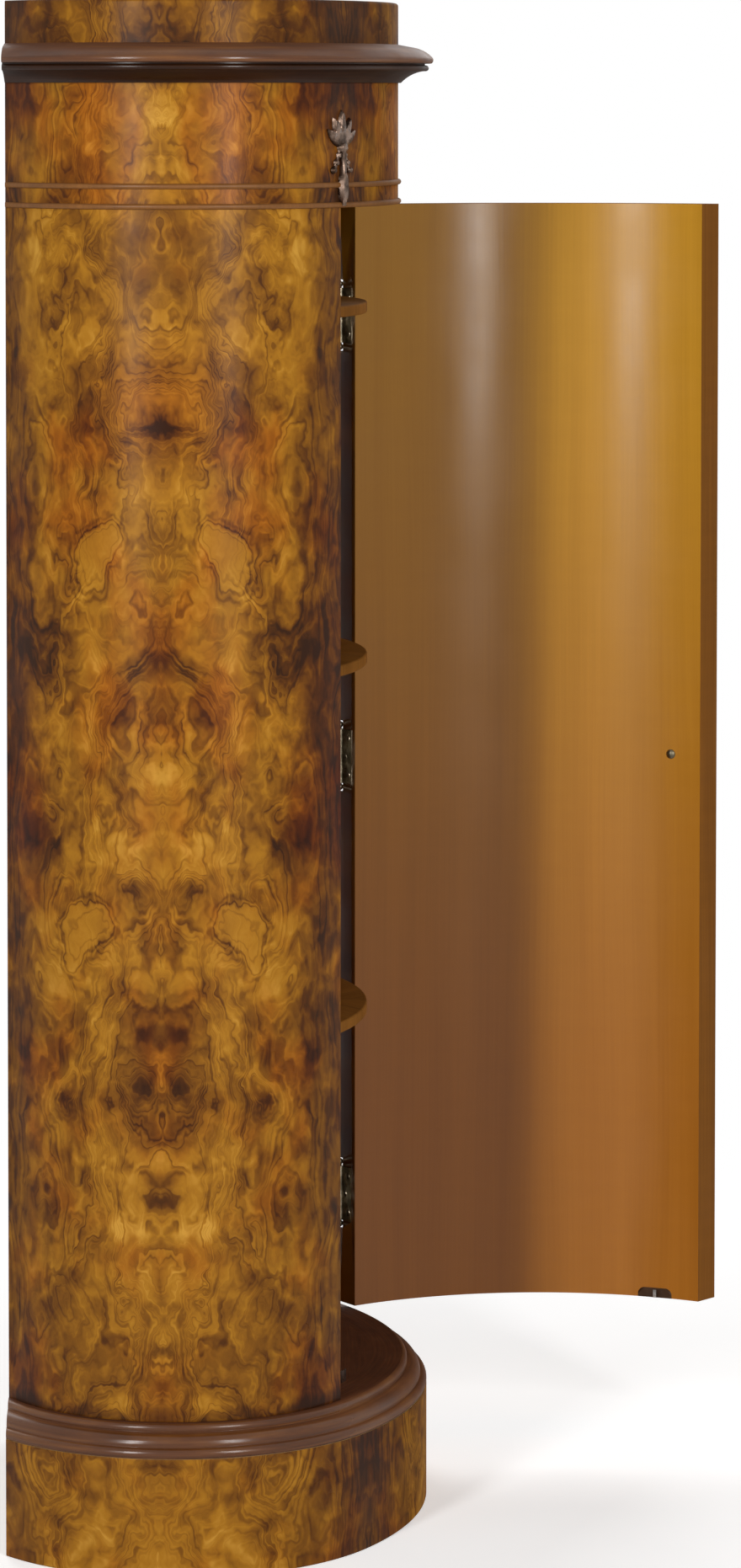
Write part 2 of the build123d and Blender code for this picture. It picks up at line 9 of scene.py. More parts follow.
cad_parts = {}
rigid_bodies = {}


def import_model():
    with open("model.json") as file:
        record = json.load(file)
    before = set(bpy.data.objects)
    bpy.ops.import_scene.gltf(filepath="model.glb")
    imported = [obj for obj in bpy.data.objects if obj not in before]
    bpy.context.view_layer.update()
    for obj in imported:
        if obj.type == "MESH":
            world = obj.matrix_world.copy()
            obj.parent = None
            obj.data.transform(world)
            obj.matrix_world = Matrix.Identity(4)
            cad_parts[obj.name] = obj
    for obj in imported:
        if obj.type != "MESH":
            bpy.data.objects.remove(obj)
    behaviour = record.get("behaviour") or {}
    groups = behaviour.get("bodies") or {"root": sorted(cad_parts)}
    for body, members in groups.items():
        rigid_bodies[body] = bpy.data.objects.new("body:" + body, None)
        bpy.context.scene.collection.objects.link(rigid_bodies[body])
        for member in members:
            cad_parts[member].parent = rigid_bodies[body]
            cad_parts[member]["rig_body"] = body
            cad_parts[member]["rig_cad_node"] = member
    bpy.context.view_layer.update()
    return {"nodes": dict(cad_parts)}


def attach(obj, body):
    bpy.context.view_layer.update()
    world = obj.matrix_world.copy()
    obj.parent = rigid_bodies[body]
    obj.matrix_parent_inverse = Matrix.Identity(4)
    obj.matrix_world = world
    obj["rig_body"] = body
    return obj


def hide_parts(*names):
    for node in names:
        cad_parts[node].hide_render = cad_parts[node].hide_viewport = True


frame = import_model()

MM = 0.001

# Plan of the column, the same oval of four arcs as the solids have
FRONT_RADIUS = 310 * MM
SIDE_RADIUS = 158 * MM
CORNER = math.radians(32.6)
FRONT_CENTRE_Y = (FRONT_RADIUS - SIDE_RADIUS) * math.cos(CORNER)
SIDE_CENTRE_X = (FRONT_RADIUS - SIDE_RADIUS) * math.sin(CORNER)
BACK_PLANE = 139 * MM
WALL = 25 * MM
FRONT_MIDDLE = 1.5 * math.pi

# The back panel is let into the walls: offsets of the lip and the foot of the rebate's side
PANEL_EDGE = 149 * MM
PANEL_FACE = 127 * MM
REBATE_LIP = math.hypot(PANEL_EDGE, BACK_PLANE + FRONT_CENTRE_Y) - FRONT_RADIUS
REBATE_FOOT = math.hypot(PANEL_EDGE, PANEL_FACE + FRONT_CENTRE_Y) - FRONT_RADIUS

# Heights of the stages
SKIRT_TOP = 96 * MM
FLOOR_TOP = 120 * MM
CASE_TOP = 1096 * MM
FRIEZE_TOP = 1197 * MM
BLOCK_FOOT = 1213 * MM
CORNICE_TOP = 1229 * MM
BLOCK_TOP = 1263.5 * MM

# Overhangs from the column's face
OVERHANG = 24.8 * MM
SKIRT_THICKNESS = 24 * MM
CORNICE_OVERHANG = 29.5 * MM
LEDGE = 4 * MM

# The two beads round the frieze
BEAD_HEIGHT = 4.4 * MM
BEAD_REACH = 2.6 * MM
BEAD_SPACING = 16.2 * MM

# Door and its opening
HINGE_GAP = 0.8 * MM
OPENING_ANGLE = CORNER
HINGE_ANGLE = OPENING_ANGLE - HINGE_GAP / 2 / FRONT_RADIUS
BEVEL = math.radians(12)
DOOR_THICKNESS = 23 * MM
DOOR_FOOT = 124 * MM
DOOR_HEAD = 1091.8 * MM
LOCK_GAP = 1.6 * MM
LIPPING = 5 * MM
STILE = 14 * MM
REST_ANGLE = math.radians(92.4)
PIN = Vector((0.1666818, -0.1333228, 0))
SWING = Matrix.Translation(PIN) @ Matrix.Rotation(REST_ANGLE, 4, "Z") @ Matrix.Translation(-PIN)

# How finely curves are cut, what counts as a crease, and how much an edge is eased
STATION = math.radians(1.5)
CREASE = math.radians(20)
SHARP_ANGLE = math.radians(30)
EASE_STEPS = 3
EASE_ROOM = 0.45
SKIRT_EASE = 0.8 * MM
MOULDING_EASE = 0.35 * MM
BOARD_EASE = 0.3 * MM
WALL_EASE = 0.25 * MM
BEAD_EASE = 0.2 * MM
DOOR_EASE = 0.15 * MM
BLOCK_EASE = 2.5 * MM
WELDS_PER_METRE = 1e6
TINY = 1e-9


def plan(theta, offset):
    """Points of the oval in plan at normal angles theta, pushed out by offset."""
    theta = np.asarray(theta, float)
    wrapped = np.mod(theta, 2 * math.pi)
    quarter = math.pi / 2
    front = np.abs(wrapped - 3 * quarter) <= CORNER
    back = np.abs(wrapped - quarter) <= CORNER
    right = np.cos(wrapped) > 0
    centre_x = np.where(front | back, 0, np.where(right, SIDE_CENTRE_X, -SIDE_CENTRE_X))
    centre_y = np.where(front, FRONT_CENTRE_Y, np.where(back, -FRONT_CENTRE_Y, 0))
    radius = np.where(front | back, FRONT_RADIUS, SIDE_RADIUS) + offset
    return np.stack([centre_x + radius * np.cos(theta), centre_y + radius * np.sin(theta)], -1)


def around(theta):
    """Length along the column's face from the middle of the front, positive to the right."""
    turn = np.asarray(theta, float) - FRONT_MIDDLE
    size = np.abs(turn)
    first = np.minimum(size, CORNER)
    second = np.clip(size - CORNER, 0, math.pi - 2 * CORNER)
    third = np.maximum(size - (math.pi - CORNER), 0)
    return np.sign(turn) * (first * FRONT_RADIUS + second * SIDE_RADIUS + third * FRONT_RADIUS)


def meeting(depth, offset, side):
    """The normal angle at which a ring meets a plane behind the middle, left (-1) or right (1)."""
    rise = (depth + FRONT_CENTRE_Y) / (FRONT_RADIUS + offset)
    turn = math.asin(min(rise, 1))
    if turn < math.pi / 2 - CORNER:
        turn = math.asin(depth / (SIDE_RADIUS + offset))
    return math.pi - turn if side < 0 else 2 * math.pi + turn


def back_end(side):
    """Ends a ring at the flat back, as an angle for each offset."""
    return lambda offset: meeting(BACK_PLANE, offset, side)


def rebate_end(side):
    """The same for a wall with the back panel let in: its inner part stops at the panel's face."""

    def angle(offset):
        return meeting(BACK_PLANE if offset > REBATE_LIP - TINY else PANEL_FACE, offset, side)

    return angle


def line_end(angle_at_face, lean, gap):
    """Ends a ring at a line across the front arc, set off by a gap from a point on the face."""
    x = FRONT_RADIUS * math.sin(angle_at_face) + gap * math.cos(lean)
    y = FRONT_CENTRE_Y - FRONT_RADIUS * math.cos(angle_at_face) + gap * math.sin(lean)
    reach = x * math.cos(lean) + (y - FRONT_CENTRE_Y) * math.sin(lean)
    return lambda offset: 2 * math.pi + lean - math.acos(reach / (FRONT_RADIUS + offset))


def lock_line(gap):
    """The bevelled joint on the lock side, moved to the right by a gap."""
    return line_end(-OPENING_ANGLE, -(OPENING_ANGLE + BEVEL), gap)


def hinge_line(gap):
    """The radial joint on the hinge side, moved to the right by a gap."""
    return line_end(HINGE_ANGLE, HINGE_ANGLE, gap)


class Patchwork:
    """Collects grids and flat faces with exact normals and UVs, and welds them into one mesh."""

    def __init__(self):
        self.points = []
        self.normals = []
        self.uvs = []
        self.faces = []
        self.finishes = []
        self.flats = set()
        self.count = 0

    def add(self, points, normals, uvs, faces, finishes):
        self.points.append(points.reshape(-1, 3))
        self.normals.append(normals.reshape(-1, 3))
        self.uvs.append(uvs.reshape(-1, 2))
        self.faces.extend([[self.count + index for index in face] for face in faces])
        self.finishes.extend(finishes)
        self.count += self.points[-1].shape[0]

    def grid(self, points, normals, uvs, finishes):
        """A sheet of rows and columns; finishes has one entry for each strip between rows."""
        rows, columns = points.shape[:2]
        faces = []
        marks = []
        for row in range(rows - 1):
            for column in range(columns - 1):
                corner = row * columns + column
                faces.append((corner, corner + 1, corner + columns + 1, corner + columns))
                marks.append(finishes[row])
        self.add(points, normals, uvs, faces, marks)

    def flat(self, points, normal, uvs, finish):
        """One flat face, whose edges are kept sharp."""
        points = np.asarray(points, float)
        normals = np.tile(np.asarray(normal, float), (len(points), 1))
        self.flats.add(len(self.faces))
        face = tuple(range(len(points)))
        self.add(points, normals, np.asarray(uvs, float), [face], [finish])

    def build(self, name, materials, swing=False):
        """The welded mesh as an object; swing opens it with the door."""
        points = np.concatenate(self.points)
        normals = np.concatenate(self.normals)
        uvs = np.concatenate(self.uvs)
        if swing:
            turn = np.array(SWING.to_3x3())
            points = points @ turn.T + np.array(SWING.translation)
            normals = normals @ turn.T
        keys = np.round(points * WELDS_PER_METRE).astype(np.int64)
        _, first, inverse = np.unique(keys, axis=0, return_index=True, return_inverse=True)
        inverse = inverse.reshape(-1)
        faces = []
        marks = []
        sources = []
        flats = []
        for number, (face, mark) in enumerate(zip(self.faces, self.finishes)):
            welded = [int(inverse[index]) for index in face]
            kept = [n for n in range(len(face)) if welded[n] != welded[n - 1]]
            if len(kept) < 3:
                continue
            if number in self.flats:
                flats.append(len(faces))
            faces.append([welded[n] for n in kept])
            sources.extend(face[n] for n in kept)
            marks.append(mark)
        mesh = bpy.data.meshes.new(name)
        mesh.from_pydata(points[first].tolist(), [], faces)
        for material in materials:
            mesh.materials.append(material)
        mesh.polygons.foreach_set("material_index", marks)
        mesh.polygons.foreach_set("use_smooth", [True] * len(faces))
        for number in flats:
            for loop in mesh.polygons[number].loop_indices:
                mesh.edges[mesh.loops[loop].edge_index].use_edge_sharp = True
        layer = mesh.uv_layers.new(name="veneer")
        layer.data.foreach_set("uv", uvs[sources].astype(np.float32).ravel())
        mesh.normals_split_custom_set(normals[sources].tolist())
        mesh.validate(clean_customdata=False)
        obj = bpy.data.objects.new(name, mesh)
        bpy.context.scene.collection.objects.link(obj)
        return obj


def eased(corners, radius):
    """A closed profile with its creases rounded, as points and outward normals.

    The corners run with the solid on the left.
    """
    corners = np.asarray(corners, float)
    count = len(corners)
    points = []
    normals = []
    for index in range(count):
        here = corners[index]
        before = here - corners[index - 1]
        after = corners[(index + 1) % count] - here
        room = min(np.linalg.norm(before), np.linalg.norm(after)) * EASE_ROOM
        before = before / np.linalg.norm(before)
        after = after / np.linalg.norm(after)
        cross = before[0] * after[1] - before[1] * after[0]
        turn = math.atan2(cross, float(np.dot(before, after)))
        normal_in = np.array([before[1], -before[0]])
        normal_out = np.array([after[1], -after[0]])
        if abs(turn) < CREASE:
            middle = normal_in + normal_out
            points.append(here)
            normals.append(middle / np.linalg.norm(middle))
            continue
        back = min(radius * abs(math.tan(turn / 2)), room)
        bend = back / abs(math.tan(turn / 2))
        start = here - before * back
        side = math.copysign(1, turn)
        centre = start - normal_in * bend * side
        for step in range(EASE_STEPS + 1):
            angle = turn * step / EASE_STEPS
            spun = np.array(
                [
                    normal_in[0] * math.cos(angle) - normal_in[1] * math.sin(angle),
                    normal_in[0] * math.sin(angle) + normal_in[1] * math.cos(angle),
                ]
            )
            points.append(centre + spun * bend * side)
            normals.append(spun)
    return np.array(points), np.array(normals)


def sweep(corners, start, end, paint, ease, cap=0, folds=(-1, 1)):
    """Runs a closed profile of (offset, height) round the oval between two ends.

    Each end is closed by flat caps, one between each pair of folds, which are offsets.
    """
    work = Patchwork()
    points, normals = eased(corners, ease)
    rows = len(points)
    columns = max(2, int(math.ceil((end(0) - start(0)) / STATION))) + 1
    share = np.linspace(0, 1, columns)
    loop = list(range(rows)) + [0]
    grid = np.zeros((rows + 1, columns, 3))
    facing = np.zeros((rows + 1, columns, 3))
    uvs = np.zeros((rows + 1, columns, 2))
    for row, index in enumerate(loop):
        offset, height = points[index]
        theta = start(offset) + share * (end(offset) - start(offset))
        grid[row, :, :2] = plan(theta, offset)
        grid[row, :, 2] = height
        facing[row, :, 0] = normals[index, 0] * np.cos(theta)
        facing[row, :, 1] = normals[index, 0] * np.sin(theta)
        facing[row, :, 2] = normals[index, 1]
        uvs[row, :, 0] = around(theta)
        uvs[row, :, 1] = height + offset
    finishes = []
    for here, there in zip(loop[:-1], loop[1:]):
        middle = (points[here] + points[there]) / 2
        finishes.append(paint(middle, (normals[here] + normals[there]) / 2))
    work.grid(grid, facing, uvs, finishes)
    for column, order in ((0, 1), (-1, -1)):
        for deep, shallow in zip(folds[:-1], folds[1:]):
            within = (points[:, 0] > deep - TINY) & (points[:, 0] < shallow + TINY)
            chosen = np.flatnonzero(within)[::order]
            rim = grid[chosen, column]
            work.flat(rim, polygon_normal(rim), points[chosen], cap)
    return work


def polygon_normal(points):
    total = np.zeros(3)
    for here, there in zip(points, np.roll(points, -1, 0)):
        total += np.cross(here, there)
    return total / np.linalg.norm(total)


def ring(corners, paint, ease, cap=0):
    """A profile run right round from the flat back to the flat back."""
    return sweep(corners, back_end(-1), back_end(1), paint, ease, cap)


def disc(work, offset, height, finish, up=True):
    """A flat sheet of the oval's plan at one height, closed by a straight line at the back."""
    start = back_end(-1)(offset)
    end = back_end(1)(offset)
    theta = np.linspace(start, end, int((end - start) / STATION) + 1)
    rim = np.column_stack([plan(theta, offset), np.full(len(theta), height)])
    if not up:
        rim = rim[::-1]
    work.flat(rim, (0, 0, 1 if up else -1), rim[:, :2], finish)


def back_sheet(work, offset, bottom, top, finish):
    """The flat back of a board, between the two ends of the ring round it."""
    reach = float(plan(back_end(1)(offset), offset)[0])
    corners = [(reach, bottom), (-reach, bottom), (-reach, top), (reach, top)]
    work.flat([(x, BACK_PLANE, z) for x, z in corners], (0, 1, 0), corners, finish)


def place(obj, body, *nodes):
    """Puts a piece on its body and lets it stand for CAD nodes."""
    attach(obj, body)
    if nodes:
        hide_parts(*nodes)
    return obj


def dress(node, body, material):
    """A welded, smooth copy of a CAD node with UVs round the column, to stand for it."""
    mesh = frame["nodes"][node].data.copy()
    work = bmesh.new()
    work.from_mesh(mesh)
    bmesh.ops.remove_doubles(work, verts=work.verts, dist=1 / WELDS_PER_METRE)
    bmesh.ops.recalc_face_normals(work, faces=work.faces)
    layer = work.loops.layers.uv.new("veneer")
    shut = SWING.inverted() if body == "door" else Matrix.Identity(4)
    for face in work.faces:
        face.smooth = True
        for loop in face.loops:
            spot = shut @ loop.vert.co
            turn = math.atan2(spot.y - FRONT_CENTRE_Y, spot.x) + 2 * math.pi
            loop[layer].uv = ((turn - FRONT_MIDDLE) * FRONT_RADIUS, spot.z)
    work.to_mesh(mesh)
    work.free()
    mesh.set_sharp_from_angle(angle=SHARP_ANGLE)
    mesh.materials.clear()
    mesh.materials.append(material)
    obj = bpy.data.objects.new(f"{node}_piece", mesh)
    bpy.context.scene.collection.objects.link(obj)
    return place(obj, body, node)


# Materials

LINE_BUMP = 0.0003
FINE_BUMP = 0.0002


class Graph:
    """Short ways to write a material's nodes."""

    def __init__(self, name):
        self.material = bpy.data.materials.new(name)
        self.material.use_nodes = True
        self.nodes = self.material.node_tree.nodes
        self.links = self.material.node_tree.links
        self.nodes.clear()
        self.output = self.nodes.new("ShaderNodeOutputMaterial")

    def put(self, socket, value):
        if isinstance(value, bpy.types.NodeSocket):
            self.links.new(value, socket)
        elif value is not None:
            socket.default_value = value

    def math(self, operation, a, b=None, clamp=False):
        node = self.nodes.new("ShaderNodeMath")
        node.operation = operation
        node.use_clamp = clamp
        self.put(node.inputs[0], a)
        self.put(node.inputs[1], b)
        return node.outputs[0]

    def add(self, a, b):
        return self.math("ADD", a, b)

    def times(self, a, b):
        return self.math("MULTIPLY", a, b)

    def sway(self, value, strength):
        """A value about a half, as a change to either side."""
        return self.times(self.add(value, -0.5), strength)

    def rest(self, share):
        """What is left of one."""
        return self.add(self.times(share, -1.0), 1.0)

    def vector(self, x, y, z=0.0):
        node = self.nodes.new("ShaderNodeCombineXYZ")
        for socket, value in zip(node.inputs, (x, y, z)):
            self.put(socket, value)
        return node.outputs[0]

    def split(self, vector):
        node = self.nodes.new("ShaderNodeSeparateXYZ")
        self.put(node.inputs[0], vector)
        return node.outputs[0], node.outputs[1]

    def stretch(self, vector, scale, shift=(0, 0, 0)):
        node = self.nodes.new("ShaderNodeVectorMath")
        node.operation = "MULTIPLY_ADD"
        self.put(node.inputs[0], vector)
        node.inputs[1].default_value = scale
        node.inputs[2].default_value = shift
        return node.outputs[0]

    def noise(self, vector, scale, detail=2.0, roughness=0.5):
        node = self.nodes.new("ShaderNodeTexNoise")
        self.put(node.inputs["Vector"], vector)
        node.inputs["Scale"].default_value = scale
        node.inputs["Detail"].default_value = detail
        node.inputs["Roughness"].default_value = roughness
        return node.outputs["Fac"]

    def streaks(self, x, x_scale, y, y_scale, detail, roughness, z=0.0):
        """Noise drawn out unevenly along x and y."""
        return self.noise(
            self.vector(self.times(x, x_scale), self.times(y, y_scale), z), 1.0, detail, roughness
        )

    def smooth(self, value, low, high, to_low=0.0, to_high=1.0):
        node = self.nodes.new("ShaderNodeMapRange")
        node.interpolation_type = "SMOOTHSTEP"
        for socket, item in zip(node.inputs, (value, low, high, to_low, to_high)):
            self.put(socket, item)
        return node.outputs[0]

    def ramp(self, value, stops):
        node = self.nodes.new("ShaderNodeValToRGB")
        elements = node.color_ramp.elements
        while len(elements) < len(stops):
            elements.new(0.5)
        for element, (position, colour) in zip(elements, stops):
            element.position = position
            element.color = (*colour, 1)
        self.put(node.inputs[0], value)
        return node.outputs[0]

    def mix(self, share, a, b, blend="MIX"):
        node = self.nodes.new("ShaderNodeMix")
        node.data_type = "RGBA"
        node.blend_type = blend
        self.put(node.inputs[0], share)
        self.put(node.inputs[6], (*a, 1) if isinstance(a, tuple) else a)
        self.put(node.inputs[7], (*b, 1) if isinstance(b, tuple) else b)
        return node.outputs[2]

    def uv(self):
        node = self.nodes.new("ShaderNodeUVMap")
        node.uv_map = "veneer"
        return self.split(node.outputs[0])

    def place(self):
        return self.nodes.new("ShaderNodeTexCoord").outputs["Object"]

    def bump(self, height, strength, distance):
        node = self.nodes.new("ShaderNodeBump")
        node.inputs["Strength"].default_value = strength
        node.inputs["Distance"].default_value = distance
        self.put(node.inputs["Height"], height)
        return node.outputs[0]

    def polish(self, scale, low, high):
        """Roughness between two limits, in worn patches."""
        return self.smooth(self.noise(self.place(), scale, 4.0, 0.6), 0.3, 0.7, low, high)

    def matt_edge(self, roughness):
        """Roughness that rises where the surface is seen nearly edge on, as old polish does."""
        facing = self.nodes.new("ShaderNodeLayerWeight").outputs["Facing"]
        return self.add(roughness, self.smooth(facing, 0.28, 0.75, 0.0, 0.5))

    def finish(self, colour, roughness, normal, **fixed):
        shader = self.nodes.new("ShaderNodeBsdfPrincipled")
        self.put(shader.inputs["Base Color"], colour)
        self.put(shader.inputs["Roughness"], roughness)
        self.put(shader.inputs["Normal"], normal)
        for name, value in fixed.items():
            shader.inputs[name.replace("_", " ")].default_value = value
        self.links.new(shader.outputs[0], self.output.inputs[0])
        return self.material


def hills(graph, x, y, spots):
    """A sum of soft hills, each (x, y, width, height, strength)."""
    total = None
    for spot_x, spot_y, width, height, strength in spots:
        across = graph.times(graph.add(x, -spot_x), 1 / width)
        along = graph.times(graph.add(y, -spot_y), 1 / height)
        spread = graph.add(graph.times(across, across), graph.times(along, along))
        hill = graph.times(graph.math("EXPONENT", graph.times(spread, -1.0)), strength)
        total = hill if total is None else graph.add(total, hill)
    return total


# Burl veneer. Lengths are in metres, scales are features per metre, and (x, y) is the distance
# from the seam between two leaves and the height.
LEAF_WIDTH = 0.1725
SEAM_WANDER = 0.012
BROAD_SCALE = 17.0
BROAD_REACH = (0.060, 0.080)
CURL_SCALE = 70.0
CURL_REACH = (0.022, 0.028)
LINES_ACROSS = 62.0
SHORES = ((0.38, -0.24), (0.20, -0.16), (0.68, -0.14))
ISLAND_TONE = 0.74
BURL_COLOURS = (
    (0.0, (0.034, 0.012, 0.0035)),
    (0.20, (0.088, 0.028, 0.0045)),
    (0.45, (0.205, 0.078, 0.007)),
    (0.70, (0.370, 0.158, 0.012)),
    (1.0, (0.560, 0.285, 0.040)),
)
BLUSH = (0.34, 0.14, 0.080)


def burl(name, seam, eyes=(), islands=(), pale=(), dark=(), red=(), seed=0.0, foot=None, shade=0.0):
    """Book-matched burl veneer: grain lines that bend round eyes, leaves that mirror each other.

    Eyes bend the lines, islands are pale closed figures with dark shores, and pale, dark and red
    are soft spots. Foot paints shade on the lowest part: where it starts, how far it fades,
    how much.
    """
    g = Graph(name)
    u, v = g.uv()
    wander = g.sway(g.noise(g.vector(u, v, seed), 16.0), SEAM_WANDER)
    x = g.math("PINGPONG", g.add(g.add(u, -seam), wander), LEAF_WIDTH)
    flat = g.vector(x, v, seed)
    calm = g.smooth(x, 0.075, 0.135, 1.0, 0.30)

    def swirl(squash, shift, scale, detail, reach):
        return g.sway(g.noise(g.stretch(flat, (1, squash, 1), shift), scale, detail), reach)

    broad_x = swirl(0.55, (3, 1, 7), BROAD_SCALE, 1.0, BROAD_REACH[0])
    broad_y = swirl(0.55, (9, 4, 2), BROAD_SCALE, 1.0, BROAD_REACH[1])
    curl_x = swirl(0.7, (2, 5, 1), CURL_SCALE, 2.0, CURL_REACH[0])
    curl_y = swirl(0.7, (6, 1, 3), CURL_SCALE, 2.0, CURL_REACH[1])
    near_x = g.add(x, g.times(curl_x, calm))
    near_y = g.add(v, curl_y)
    far_x = g.add(near_x, g.times(broad_x, calm))
    far_y = g.add(near_y, broad_y)
    near = g.vector(near_x, near_y, seed)
    warped = g.vector(far_x, far_y, seed)

    # The lines are contours of a height that climbs away from the seam
    knots = g.noise(g.stretch(warped, (1, 0.6, 1)), 20.0, 1.0, 0.4)
    height = g.times(knots, g.times(calm, 9.0))
    height = g.add(height, g.times(far_x, LINES_ACROSS))
    if eyes:
        height = g.add(height, hills(g, near_x, near_y, eyes))
    lines = g.streaks(height, 1.7, far_y, 9.0, 1.0, 0.4, seed)
    thin = g.smooth(g.math("ABSOLUTE", g.add(lines, -0.5)), 0.0, 0.075, 1.0, 0.0)
    patchy = g.noise(g.stretch(flat, (1, 0.6, 1), (4, 4, 4)), 34.0)
    thin = g.times(thin, g.smooth(patchy, 0.36, 0.62, 0.25, 1.0))
    fibres = g.streaks(height, 4.6, far_y, 26.0, 2.0, 0.5, seed)
    clouds = g.noise(g.stretch(warped, (1, 0.75, 1), (5, 5, 1)), 26.0, 3.0, 0.55)
    mottle = g.noise(g.stretch(near, (1, 0.8, 1), (2, 8, 3)), 74.0)
    pores = g.noise(g.stretch(flat, (1, 0.35, 1)), 900.0, 2.0, 0.6)

    tone = g.add(g.sway(clouds, 0.95), 0.57)
    tone = g.add(tone, g.times(thin, -0.22))
    tone = g.add(tone, g.sway(fibres, 0.55))
    tone = g.add(tone, g.sway(mottle, 0.72))
    # Painted shade: darker towards each leaf's edge away from the seam, where the column turns away
    # from the lamps
    tone = g.add(tone, g.smooth(x, 0.085, 0.17, 0.0, -0.24))
    if pale:
        tone = g.add(tone, hills(g, near_x, near_y, pale))
    if islands:
        land = hills(g, near_x, near_y, islands)
        within = g.smooth(land, 0.34, 0.60, 0.0, 0.72)
        tone = g.add(g.times(tone, g.rest(within)), g.times(within, ISLAND_TONE))
        for level, strength in SHORES:
            distance = g.math("ABSOLUTE", g.add(land, -level))
            tone = g.add(tone, g.smooth(distance, 0.01, 0.07, strength, 0.0))
    if dark:
        tone = g.add(tone, g.times(hills(g, near_x, near_y, dark), -1.0))
    # Painted shade: darker at the foot, where the piece meets the ledge below
    if foot:
        start, fade, depth = foot
        tone = g.add(tone, g.smooth(v, start, start + fade, depth, 0.0))
    if shade:
        tone = g.add(tone, shade)
    tone = g.add(tone, g.sway(pores, 0.07))
    colour = g.ramp(tone, BURL_COLOURS)

    blush = g.noise(g.stretch(flat, (1, 0.6, 1), (1, 2, 9)), 15.0, 3.0, 0.55)
    warm = g.smooth(blush, 0.46, 0.70, 0.0, 0.6)
    if red:
        warm = g.math("ADD", warm, hills(g, near_x, near_y, red), clamp=True)
    if islands:
        warm = g.times(warm, g.rest(within))
    colour = g.mix(warm, colour, BLUSH, "SOFT_LIGHT")
    surface = g.add(g.times(fibres, 0.4), pores)
    return g.finish(
        colour,
        g.matt_edge(g.polish(14.0, 0.26, 0.38)),
        g.bump(surface, 0.10, LINE_BUMP),
        Specular_IOR_Level=0.10,
    )


def straight(
    name,
    dark,
    light,
    band=0.8,
    line=0.9,
    roughness=(0.34, 0.46),
    gloss=0.2,
    low_shade=None,
    leaf=None,
    matt=True,
):
    """Straight-grained wood whose grain runs up the piece, in bands with fine lines and pores.

    Lower and leaf are painted shade: lower darkens and reddens the wood below a height, and leaf
    darkens the veneer to the right of a joint as a painted shadow.
    """
    g = Graph(name)
    u, v = g.uv()
    bend = g.sway(g.streaks(u, 6.0, v, 1.5, 2.0, 0.5), 0.02)
    x = g.add(u, bend)
    bands = g.streaks(x, 26.0, v, 0.7, 3.0, 0.6)
    lines = g.streaks(x, 420.0, v, 4.0, 2.0, 0.6)
    pores = g.streaks(x, 1500.0, v, 36.0, 2.0, 0.7)
    ripple = g.streaks(x, 14.0, v, 90.0, 3.0, 0.6)
    tone = g.add(g.sway(bands, 2.0 * band), 0.5)
    tone = g.add(tone, g.sway(lines, line))
    tone = g.add(tone, g.sway(pores, line * 0.4))
    tone = g.add(tone, g.sway(ripple, line * 0.35))
    colour = g.ramp(tone, ((0.0, dark), (1.0, light)))
    # Painted shade: darker and redder below a height, where less light falls from above
    if low_shade:
        height, reach, tint, strength = low_shade
        share = g.smooth(v, height + reach, height - reach, 0.0, strength)
        colour = g.mix(share, colour, tint, "MULTIPLY")
    # Painted shadow: the veneer to the right of a joint is darkened
    if leaf:
        joint, blend, tint = leaf
        share = g.smooth(g.add(u, g.times(bend, 0.5)), joint - blend, joint + blend)
        colour = g.mix(share, colour, tint, "MULTIPLY")
    rough = g.polish(11.0, *roughness)
    return g.finish(
        colour,
        g.matt_edge(rough) if matt else rough,
        g.bump(g.add(lines, pores), 0.08, LINE_BUMP),
        Specular_IOR_Level=gloss,
    )


def moulded(name, low, middle, high, gloss):
    """Dark stained wood with its grain along the moulding, polished."""
    g = Graph(name)
    u, v = g.uv()
    streaks = g.streaks(u, 14.0, v, 420.0, 4.0, 0.6)
    patches = g.streaks(u, 9.0, v, 30.0, 3.0, 0.6)
    tone = g.add(g.times(streaks, 0.6), g.times(patches, 0.5))
    return g.finish(
        g.ramp(tone, ((0.3, low), (0.55, middle), (0.8, high))),
        g.matt_edge(g.polish(30.0, 0.16, 0.24)),
        g.bump(streaks, 0.04, LINE_BUMP),
        Specular_IOR_Level=gloss,
    )


def metal(name, low, high, roughness, scale=260.0, strength=0.1):
    """Metal with tarnish in patches and fine scratches."""
    g = Graph(name)
    where = g.place()
    patches = g.noise(where, 90.0, 4.0, 0.6)
    grain = g.noise(g.stretch(where, (1, 1, 6)), scale, 2.0, 0.6)
    smoothest, roughest = roughness
    return g.finish(
        g.mix(g.smooth(patches, 0.35, 0.65), low, high),
        g.add(g.smooth(patches, 0.3, 0.7, roughest, smoothest), g.sway(grain, 0.1)),
        g.bump(grain, strength, FINE_BUMP),
        Metallic=1.0,
    )


def moulded_plastic(name, colour):
    """Plastic with a fine texture and slightly worn patches."""
    g = Graph(name)
    where = g.place()
    grain = g.noise(where, 1400.0, 2.0, 0.6)
    patches = g.noise(where, 60.0, 3.0, 0.6)
    return g.finish(
        g.mix(g.smooth(patches, 0.3, 0.7, 0.0, 0.5), colour, tuple(2 * part for part in colour)),
        g.smooth(patches, 0.3, 0.7, 0.35, 0.5),
        g.bump(grain, 0.15, FINE_BUMP),
        Specular_IOR_Level=0.12,
    )


# The seam of each side's leaves, as a length from the middle of the front
SIDE_SEAM = 0.345

